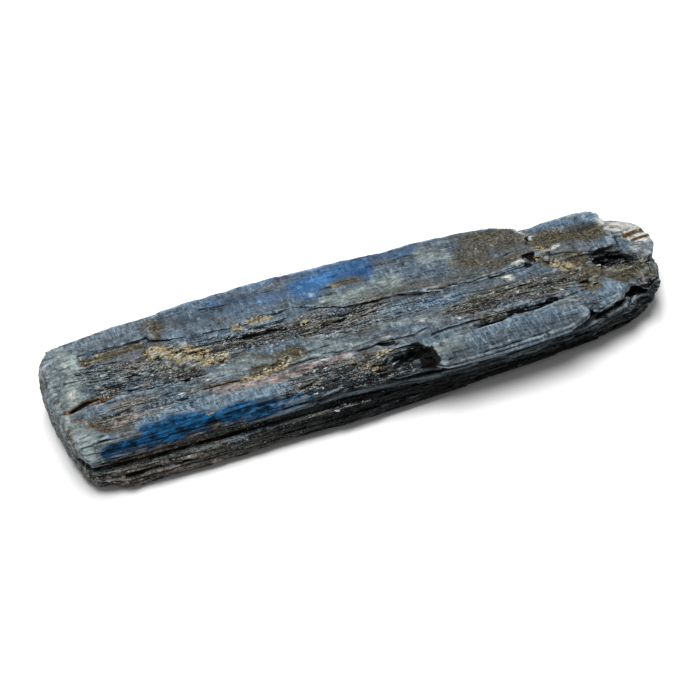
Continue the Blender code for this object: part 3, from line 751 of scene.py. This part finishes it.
def layBlade(surface, side, rng, x, s, length, width, stand, turn):  # None where it finds no bed
    reach = length * bladeRules["reach"]
    slope = math.tan(math.radians(turn))
    middle = surface.meet(x, s, side)
    start, end = (surface.meet(x + way * reach, s + way * reach * slope, side) for way in (-1, 1))
    near, far = (surface.meet(x, s + way * width * 0.5, side) for way in (-1, 1))
    if None in (middle, start, end, near, far):
        return None
    out = -Vector(side["look"])
    bent = abs((start + end - middle * 2).dot(out)) > bladeRules["bend"]
    if bent or abs((far - near).dot(out)) > width * bladeRules["steepest"]:
        return None
    along = (end - start).normalized()
    over = (far - near).normalized()
    up = along.cross(over).normalized()
    over = (up.cross(along) + up * rng.normal(0.0, bladeRules["roll"])).normalized()
    up = along.cross(over).normalized()
    centre = (start + end + middle * 2) / 4 + up * stand
    corners = bladeCorners(rng, length, width, stand + rng.uniform(*bladeRules["root"]))
    placed = [centre + along * u + over * v + up * w for u, v, w in corners]
    loose = max(surface.gap(place) for place in placed) > stand + bladeRules["gap"]
    return None if loose else placed


def pieceMesh(name, points, faces, normals, tints, hollow):
    mesh = bpy.data.meshes.new(name)
    mesh.from_pydata((insideBox(points) * mm).tolist(), [], faces)
    setZones(mesh, np.array(points), np.array(normals))
    setMask(mesh, "tint", tints)
    setMask(mesh, "hollow", hollow)
    return addObject(name, mesh)


def growBlades(surface):
    rng = np.random.default_rng(bladeRules["seed"])
    points, faces, normals, tints, hollow = [], [], [], [], []

    def lay(side, place, size, stand, turn, kind):
        corners = layBlade(surface, side, rng, *place, *size, stand, turn)
        if corners is None:
            return 0
        faces.extend(bladeFaces(len(points)))
        points.extend(tuple(c) for c in corners)
        normals.extend([tuple(-c for c in side["look"])] * 12)
        tints.extend([rng.normal(*bladeRules["tints"][kind])] * 12)
        foot, rim = bladeRules["hollow"], bladeRules["rims"][kind]
        hollow.extend([foot, foot, rim, rim] * 3)
        return 1

    for name, count, lengths, widths, stands, turns in bladeRuns:
        side = sides[name]
        tries = count * bladeRules["tries"]
        xs = rng.uniform(-bladeRules["ends"], bladeRules["ends"], tries)
        across = rng.uniform(side["from"], side["to"], tries)
        wanted = np.full(tries, bladeRules["others"])
        if name == "top":
            ragged = painted(np.stack([xs, across], axis=1), topPaint["ragged"])
            wanted = np.maximum(ragged, bladeRules["least"])
        made = 0
        for x, s, want in zip(xs, across, wanted):
            if made >= count or rng.random() > want:
                continue
            size = between(lengths, rng.random() ** 2.0), between(widths, rng.random() ** 1.5)
            stand = between(stands, rng.random() * min(1.0, want + 0.15))
            made += lay(side, (x, s), size, stand, rng.normal(0.0, turns), 0)
        print("blades on the", name, made)
    for x, y, length, width, stand, turn in plates:
        lay(sides["top"], (x, y), (length, width), stand, turn, 1)
    return pieceMesh("kyanite_blades", points, faces, normals, tints, hollow)


surface = CarvedSurface(stone.data)
blades = growBlades(surface)
print("blades grown")


# crumbs of the tan matrix, broken bits in the hollows, and mica flakes

crumbSetup = {
    "count": 420, "size": (0.08, 0.26), "stretch": (1.2, 1.0, 0.8),  # sizes in mm
    "seed": 8, "runs": ((topPaint["gold"], 1.0),),
}
bitSetup = {
    "count": 520, "size": (0.14, 0.62), "stretch": (1.9, 0.8, 0.6),
    "seed": 9, "runs": ((rubble, 1.0),),
}
flakeSetup = {
    "count": 420, "size": (0.20, 0.75), "seed": 13,
    "runs": ((topPaint["ragged"], 0.8), (topPaint["gold"], 0.8), (rubble, 1.0)),
    "half": (0.7, 1.4),  # half length and half width, as shares of half the size
    "thickness": 0.06,
    "stand": 0.07,
    "tilt": 0.30,
    "corners": 6,
}
scatterArea = (48.5, 13.0)  # mm from the middle along X and Y
scatterTries = 4000


def scatter(surface, rng, setup):  # places on the top, more of them where a stroke is strong
    places = []
    while len(places) < setup["count"]:
        flat = np.stack([rng.uniform(-reach, reach, scatterTries) for reach in scatterArea], axis=1)
        wanted = np.max([painted(flat, strokes) * share for strokes, share in setup["runs"]], axis=0) ** 1.5
        for x, y in flat[rng.random(scatterTries) < wanted]:
            place = surface.meet(x, y, sides["top"])
            if place is not None and len(places) < setup["count"]:
                places.append(place)
    return places


def scatteredPiece(name, points, faces, tints):
    count = len(points)
    return pieceMesh(name, points, faces, [(0.0, 0.0, 1.0)] * count, tints, [0.5] * count)


def growCrumbs(surface, name, setup):
    rng = np.random.default_rng(setup["seed"])
    work = bmesh.new()
    bmesh.ops.create_icosphere(work, subdivisions=1, radius=1.0)
    ball = np.array([v.co[:] for v in work.verts])
    ballFaces = [tuple(v.index for v in face.verts) for face in work.faces]
    work.free()
    points, faces, tints = [], [], []
    for place in scatter(surface, rng, setup):
        size = between(setup["size"], rng.random() ** 2.0)
        lump = ball * rng.uniform(0.6, 1.25, (len(ball), 1)) * size
        lump = lump * rng.uniform(0.6, 1.1, 3) * setup["stretch"]
        faces += [tuple(len(points) + corner for corner in face) for face in ballFaces]
        points += [tuple(row) for row in lump + np.array(place)]
        tints += [rng.normal(0.0, 0.8)] * len(ball)
    return scatteredPiece(name, points, faces, tints)


def growFlakes(surface, setup):
    rng = np.random.default_rng(setup["seed"])
    count = setup["corners"]
    points, faces, tints = [], [], []
    for place in scatter(surface, rng, setup):
        size = between(setup["size"], rng.random() ** 2.0) / 2
        up = Vector(rng.normal(0.0, setup["tilt"], 3).tolist()) + Vector((0.0, -0.1, 1.0))
        up.normalize()
        along = Vector((1.0, rng.normal(0.0, 0.3), 0.0)).cross(up).normalized()
        over = up.cross(along)
        first = len(points)
        for level in (-setup["thickness"], 0.0):
            for turn in range(count):
                angle = math.radians(360 // count * turn + rng.uniform(-14, 14))
                spot = along * math.cos(angle) * size * setup["half"][0]
                spot += over * math.sin(angle) * size * setup["half"][1]
                points.append(tuple(place + spot + up * (level + setup["stand"])))
        faces.append(tuple(first + count + turn for turn in range(count)))
        faces.append(tuple(first + count - 1 - turn for turn in range(count)))
        for turn in range(count):
            after = (turn + 1) % count
            faces.append((first + turn, first + after, first + count + after, first + count + turn))
        tints += [rng.normal(0.2, 0.8)] * 2 * count
    piece = scatteredPiece("mica_flakes", points, faces, tints)
    setMask(piece.data, "mica", [1.0] * len(points))
    return piece


crumbs = growCrumbs(surface, "gold_crumbs", crumbSetup)
bits = growCrumbs(surface, "broken_bits", bitSetup)
flakes = growFlakes(surface, flakeSetup)
print("crumbs and flakes grown")


# finish

kyaniteFinish = {
    "slate": ("1A2228", "74808A"),  # dark and light tone of each finish
    "blueSlate": ("1E2A33", "6C8090"),
    "grayWarm": ("242220", "848078"),
    "azure": ("16385C", "38699A"),
    "pale": ("4D5958", "8D9795"),
    "sky": ("2E4153", "7A8C9B"),
    "cobalt": ("000509", "085A8C"),
    "brown": ("1E1A13", "6C6551"),
    "rust": ("140B05", "704E20"),
    "gold": ("3A321F", "AE9F7A"),
    "pink": ("4A4240", "A09089"),
    "milk": ("64686A", "C6C5BA"),
    "dark": ("020304", "30363A"),
    # near black for the painted front shade, with lighter layers between
    "shadedStrata": ("020304", "84949E"),
    "mica": ("3C4244", "A4A8A6"),
    "black": "020303",
    # pale streaks, and painted highlights on rims and grains
    "streakAndHighlight": "98A4AA",
    # painted glints
    "glint": "CDD2D2",
    "roughness": (0.46, 0.72),
    "flakeRoughness": 0.16,
    "flake": (1.2, 0.35, 0.35),  # mm
    "glassIor": 1.5,
    "specular": 0.10,
    "depth": 1.35,  # how much deeper the dark tones are
    "middle": 0.17,  # the tone that stays
    "edge": 0.52,  # mask strength where a finish covers half
    # how far the painted shade darkens the lower front side
    "frontLowShade": 0.80,
    "bump": 0.8,
    "bumpHeight": 0.12,  # mm
}

grains = {
    # size of a grain in mm along X, Y and Z, detail, roughness, twist
    "long": ((8.0, 0.7, 0.7), 7.0, 0.68, 0.4),
    "fine": ((2.6, 0.2, 0.2), 4.0, 0.60, 0.0),
    "cloud": ((7.0, 3.4, 3.4), 6.0, 0.60, 0.0),
    "mottle": ((1.5, 0.8, 0.8), 6.0, 0.65, 0.5),
    "speck": ((0.42, 0.34, 0.34), 4.0, 0.60, 0.0),
    "grit": ((0.26, 0.18, 0.18), 2.0, 0.50, 0.0),
    "layer": ((26.0, 8.0, 0.85), 5.0, 0.55, 0.2),
    "cross": ((0.42, 1.7, 1.7), 6.0, 0.70, 0.5),
}

finishLayers = (
    # finish, what frays its edge and by how much, how soft the edge is, what varies its tone
    ("azure", "fray", 2.4, 0.95, "cloud"),
    ("pale", "fray", 2.6, 0.90, "mottle"),
    ("sky", "teeth", 2.4, 0.80, "cross"),
    ("cobalt", "teeth", 4.0, 0.45, "mottle"),
    ("brown", "fray", 3.4, 0.85, "speck"),
    ("pink", "fray", 4.4, 0.80, "mottle"),
    ("milk", "fray", 2.2, 0.70, "mottle"),
    ("rust", "fray", 3.0, 0.50, "speck"),
    ("gold", "fray", 3.2, 0.50, "speck"),
    ("shadedStrata", "fray", 1.0, 0.50, "layer"),
    ("dark", "fray", 4.4, 0.60, "fine"),
    ("mica", "fray", 0.0, 0.50, "speck"),
)

offCobalt = ("cobalt", 0.2, 0.6, 1.0, 0.25)
marks = {
    # tone, strength, then ramps that are multiplied: field, from, to and its share at each
    "scratches": ("streakAndHighlight", 1.0, ("ragged", 0.2, 0.6, 1.0, 0.3), ("cloud", 0.42, 0.60, 0.1, 1.0),
                  ("mottle", 0.44, 0.58), offCobalt, ("cross", 0.52, 0.66, 0.0, 0.62)),
    "lines": ("black", 0.85, ("fine", 0.44, 0.30), ("ragged", 0.0, 0.7, 0.35, 1.0)),
    "seams": ("black", 1.0, ("seam", 0.014, 0.004), ("mottle", 0.46, 0.58),
              ("ragged", 0.0, 0.5, 0.35, 1.0)),
    # painted glints: bright specks on the ragged blades
    "paintedGlints": ("glint", 1.0, ("speck", 0.60, 0.70), ("mottle", 0.48, 0.60, 0.1, 0.8),
               ("ragged", 0.0, 0.6, 0.3, 1.0), offCobalt),
    "litGrains": ("streakAndHighlight", 1.0, ("ragged", 0.1, 0.7, 0.15, 1.0), ("mottle", 0.40, 0.56), offCobalt,
                  ("grit", 0.55, 0.66, 0.0, 0.75)),
    "pinholes": ("black", 1.0, ("grit", 0.44, 0.34, 0.0, 0.9), ("ragged", 0.1, 0.7, 0.15, 1.0)),
    # painted shade in the hollows
    "hollowShade": ("black", 1.0, ("hollow", 0.60, 1.0, 0.0, 0.85)),
    # rims lightened: edge wear and painted highlight
    "rims": ("streakAndHighlight", 1.0, ("hollow", 0.46, 0.20, 0.0, 0.45), ("mottle", 0.42, 0.58), offCobalt),
    # painted shade in the cracks
    "paintedCrackShade": ("black", 1.0, ("crackShade", 0.40, 0.85, 0.0, 0.9)),
    # painted shade in the open pits, near black
    "pitShadeMarks": ("black", 0.96, ("frayedPitShade", 0.5, 0.8)),
}


def tone(code):  # a colour written as in a paint chart, made linear
    shares = [int(code[i:i + 2], 16) / 255 for i in (0, 2, 4)]
    return tuple(((s + 0.055) / 1.055) ** 2.4 if s > 0.04045 else s / 12.92 for s in shares) + (1.0,)


class NodeBench:  # short ways to add and join shader nodes
    def __init__(self, material):
        material.use_nodes = True
        self.tree = material.node_tree
        self.tree.nodes.clear()
        self.coords = self.add("ShaderNodeTexCoord").outputs["Object"]

    def add(self, kind, inputs=None, **settings):
        node = self.tree.nodes.new(kind)
        for name, value in settings.items():
            setattr(node, name, value)
        for name, value in (inputs or {}).items():
            if isinstance(value, bpy.types.NodeSocket):
                self.tree.links.new(value, node.inputs[name])
            else:
                node.inputs[name].default_value = value
        return node

    def calc(self, operation, first, second=0.0, third=0.0):
        return self.add("ShaderNodeMath", {0: first, 1: second, 2: third}, operation=operation).outputs[0]

    def ramp(self, value, low, high, start=0.0, end=1.0, kind="SMOOTHSTEP"):
        inputs = {"Value": value, "From Min": low, "From Max": high, "To Min": start, "To Max": end}
        return self.add("ShaderNodeMapRange", inputs, interpolation_type=kind).outputs["Result"]

    def line(self, value, low, high, start=0.0, end=1.0):
        return self.ramp(value, low, high, start, end, kind="LINEAR")

    def product(self, field, ramps):
        total = None
        for name, *limits in ramps:
            share = self.ramp(field[name], *limits)
            total = share if total is None else self.calc("MULTIPLY", total, share)
        return total

    def weigh(self, *terms):  # a weighted sum of values
        total = 0.0
        for value, weight in terms:
            total = self.calc("MULTIPLY_ADD", value, weight, total)
        return total

    def blend(self, share, first, second):
        inputs = {0: share, 6: first, 7: second}
        return self.add("ShaderNodeMix", inputs, data_type="RGBA").outputs[2]

    def vector(self, operation, inputs):
        return self.add("ShaderNodeVectorMath", inputs, operation=operation).outputs[0]

    def stretched(self, sizes):  # coordinates in which a grain of these mm is one unit
        scale = tuple(1.0 / (size * mm) for size in sizes)
        return self.add("ShaderNodeMapping", {"Vector": self.coords, "Scale": scale}).outputs["Vector"]

    def noise(self, sizes, detail, roughness, twist):
        inputs = {"Vector": self.stretched(sizes), "Scale": 1.0, "Detail": detail, "Roughness": roughness}
        return self.add("ShaderNodeTexNoise", {**inputs, "Distortion": twist}).outputs["Fac"]

    def flakes(self, sizes):
        inputs = {"Vector": self.stretched(sizes), "Scale": 1.0}
        return self.add("ShaderNodeTexVoronoi", inputs).outputs["Color"]

    def mask(self, name):
        return self.add("ShaderNodeAttribute", attribute_name=name).outputs["Fac"]


def makeFields(bench):  # the noises and masks that the finish is made of
    field = {name: bench.noise(*settings) for name, settings in grains.items()}
    for name in ("ragged", "tint", "cobalt", "hollow", "crackShade", "pitShade", "frontLowShade", "mica"):
        field[name] = bench.mask(name)

    def mixOf(**weights):
        return bench.weigh(*((field[name], weight) for name, weight in weights.items()))

    calm = mixOf(mottle=0.34, cross=0.30, speck=0.20, long=0.16)
    wild = mixOf(long=0.30, mottle=0.20, fine=0.20, speck=0.16, grit=0.14)
    field["mixed"] = bench.line(bench.ramp(field["ragged"], 0.15, 0.65), 0.0, 1.0, calm, wild)
    field["fray"] = bench.calc("SUBTRACT", mixOf(long=0.40, mottle=0.36, speck=0.24), 0.5)
    field["teeth"] = bench.calc("SUBTRACT", mixOf(cross=0.7, speck=0.3), 0.5)
    field["contrast"] = bench.ramp(field["ragged"], 0.1, 0.8, 1.25, 2.1)
    field["warm"] = mixOf(cloud=-1.0, ragged=0.10, mottle=-0.3, tint=0.05)
    field["seam"] = bench.calc("ABSOLUTE", bench.calc("SUBTRACT", field["long"], 0.5))
    # the painted pit shade, with a frayed edge
    field["frayedPitShade"] = bench.calc("MULTIPLY_ADD", field["fray"], 3.0, field["pitShade"])
    return field


def layColours(bench, field, setup):
    def shade(name, inside):  # a finish, varied between its dark and light tone
        inside = bench.weigh((field[inside], 0.5), (field["mixed"], 0.5), (field["tint"], 0.06))
        inside = bench.calc("MULTIPLY_ADD", bench.calc("SUBTRACT", inside, 0.5), field["contrast"], 0.5)
        return bench.blend(bench.line(inside, 0.36, 0.64), *(tone(code) for code in setup[name]))

    cloudy = bench.ramp(field["cloud"], 0.40, 0.60, 0.15, 0.95)
    colour = bench.blend(cloudy, shade("slate", "mixed"), shade("blueSlate", "mixed"))
    warm = bench.product(field, (("warm", -0.66, -0.52, 0.0, 0.9), ("ragged", 0.0, 0.5, 0.3, 1.0)))
    colour = bench.blend(warm, colour, shade("grayWarm", "fine"))
    for name, edge, wobble, width, inside in finishLayers:
        mask = bench.mask(name)
        pushed = bench.calc("MULTIPLY_ADD", field[edge], wobble, mask)
        covered = bench.line(pushed, setup["edge"] - width / 2, setup["edge"] + width / 2)
        covered = bench.calc("MULTIPLY", covered, bench.ramp(mask, 0.0, 0.3))
        colour = bench.blend(covered, colour, shade(name, inside))
    return colour


def addMarks(bench, field, setup, colour):
    for name, strength, *ramps in marks.values():
        share = bench.calc("MULTIPLY", bench.product(field, ramps), strength)
        colour = bench.blend(share, colour, tone(setup[name]))
    return colour


def deepen(bench, field, setup, colour):  # a value curve, and painted shade on the lower front side over it
    parts = bench.add("ShaderNodeSeparateColor", {"Color": colour}, mode="HSV").outputs
    value = bench.calc("POWER", bench.calc("DIVIDE", parts["Blue"], setup["middle"]), setup["depth"])
    value = bench.calc("MULTIPLY", value, setup["middle"])
    value = bench.calc("MULTIPLY", value, bench.line(field["frontLowShade"], 0.0, 1.0, 1.0, 1.0 - setup["frontLowShade"]))
    inputs = {"Red": parts["Red"], "Green": parts["Green"], "Blue": value}
    return bench.add("ShaderNodeCombineColor", inputs, mode="HSV").outputs["Color"]


def makeSheen(bench, field, setup):  # roughness, with mirror-like flakes, and the normal
    flakes = bench.flakes(setup["flake"])
    mirror = bench.ramp(bench.add("ShaderNodeSeparateColor", {"Color": flakes}).outputs["Red"], 0.62, 0.70)
    mirror = bench.calc("MULTIPLY", mirror, bench.ramp(field["ragged"], 0.0, 0.8, 0.2, 1.0))
    mirror = bench.calc("MAXIMUM", mirror, field["mica"])
    rough = bench.line(field["mixed"], 0.38, 0.62, *setup["roughness"])
    rough = bench.line(mirror, 0.0, 1.0, rough, setup["flakeRoughness"])

    seams = bench.product(field, marks["seams"][2:])
    height = bench.weigh((field["fine"], 0.8), (field["speck"], 0.6), (field["grit"], 0.4),
                         (field["cross"], 0.15), (seams, -0.5))
    tilt = bench.vector("SUBTRACT", {0: flakes, 1: (0.5, 0.5, 0.5)})
    tilt = bench.vector("SCALE", {0: tilt, "Scale": bench.ramp(field["ragged"], 0.1, 0.8, 0.15, 0.8)})
    facing = bench.add("ShaderNodeNewGeometry").outputs["Normal"]
    facing = bench.vector("NORMALIZE", {0: bench.vector("ADD", {0: facing, 1: tilt})})
    bump = bench.add("ShaderNodeBump", {
        "Height": height, "Strength": setup["bump"], "Distance": setup["bumpHeight"] * mm, "Normal": facing,
    })
    return rough, bump.outputs["Normal"]


def makeKyanite(setup):
    material = bpy.data.materials.new("kyanite_finish")
    bench = NodeBench(material)
    field = makeFields(bench)
    colour = layColours(bench, field, setup)
    colour = addMarks(bench, field, setup, colour)
    colour = deepen(bench, field, setup, colour)
    rough, normal = makeSheen(bench, field, setup)
    shader = bench.add("ShaderNodeBsdfPrincipled", {
        "Base Color": colour, "Roughness": rough, "Normal": normal,
        "IOR": setup["glassIor"], "Specular IOR Level": setup["specular"],
    })
    bench.add("ShaderNodeOutputMaterial", {"Surface": shader.outputs[0]})
    return material


kyanite = makeKyanite(kyaniteFinish)
pieces = (stone, blades, crumbs, bits, flakes)
for piece in pieces:
    piece.data.materials.append(kyanite)
print("finish made")


# floor and light

studio = {
    "floorSize": 6.0,  # m
    "floorColour": (0.86, 0.86, 0.86),
    "floorRoughness": 0.9,
    "floorSpecular": 0.1,
    "world": 0.28,
    "overhead": (-0.12, 0.04, 0.80, 0.50, 7.6),  # x, y, z of the light, its size, watts
    "glint": (0.16, 0.50, 0.52, 0.08, 0.8),
}


def makeFloor(setup):
    mesh = bpy.data.meshes.new("floor")
    work = bmesh.new()
    bmesh.ops.create_grid(work, x_segments=1, y_segments=1, size=setup["floorSize"] / 2)
    work.to_mesh(mesh)
    work.free()
    floor = addObject("floor", mesh)
    material = bpy.data.materials.new("floor_paper")
    material.use_nodes = True
    shader = material.node_tree.nodes["Principled BSDF"]
    shader.inputs["Base Color"].default_value = (*setup["floorColour"], 1.0)
    shader.inputs["Roughness"].default_value = setup["floorRoughness"]
    shader.inputs["Specular IOR Level"].default_value = setup["floorSpecular"]
    mesh.materials.append(material)


def makeLight(name, x, y, z, size, watts):
    data = bpy.data.lights.new(name, "AREA")
    data.shape = "DISK"
    data.size = size
    data.energy = watts
    light = addObject(name, data)
    light.location = (x, y, z)
    light.rotation_euler = Vector((-x, -y, -z)).to_track_quat("-Z", "Y").to_euler()


def makeWorld(setup):
    world = bpy.data.worlds.new("studio")
    bpy.context.scene.world = world
    world.use_nodes = True
    background = world.node_tree.nodes["Background"]
    background.inputs["Color"].default_value = (1.0, 1.0, 1.0, 1.0)
    background.inputs["Strength"].default_value = setup["world"]


makeFloor(studio)
makeLight("overhead_light", *studio["overhead"])
makeLight("glint_light", *studio["glint"])
makeWorld(studio)
bpy.context.scene.view_settings.view_transform = "Standard"
print("studio made")


for piece in pieces:
    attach(piece, "root")
    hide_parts(nodeName)
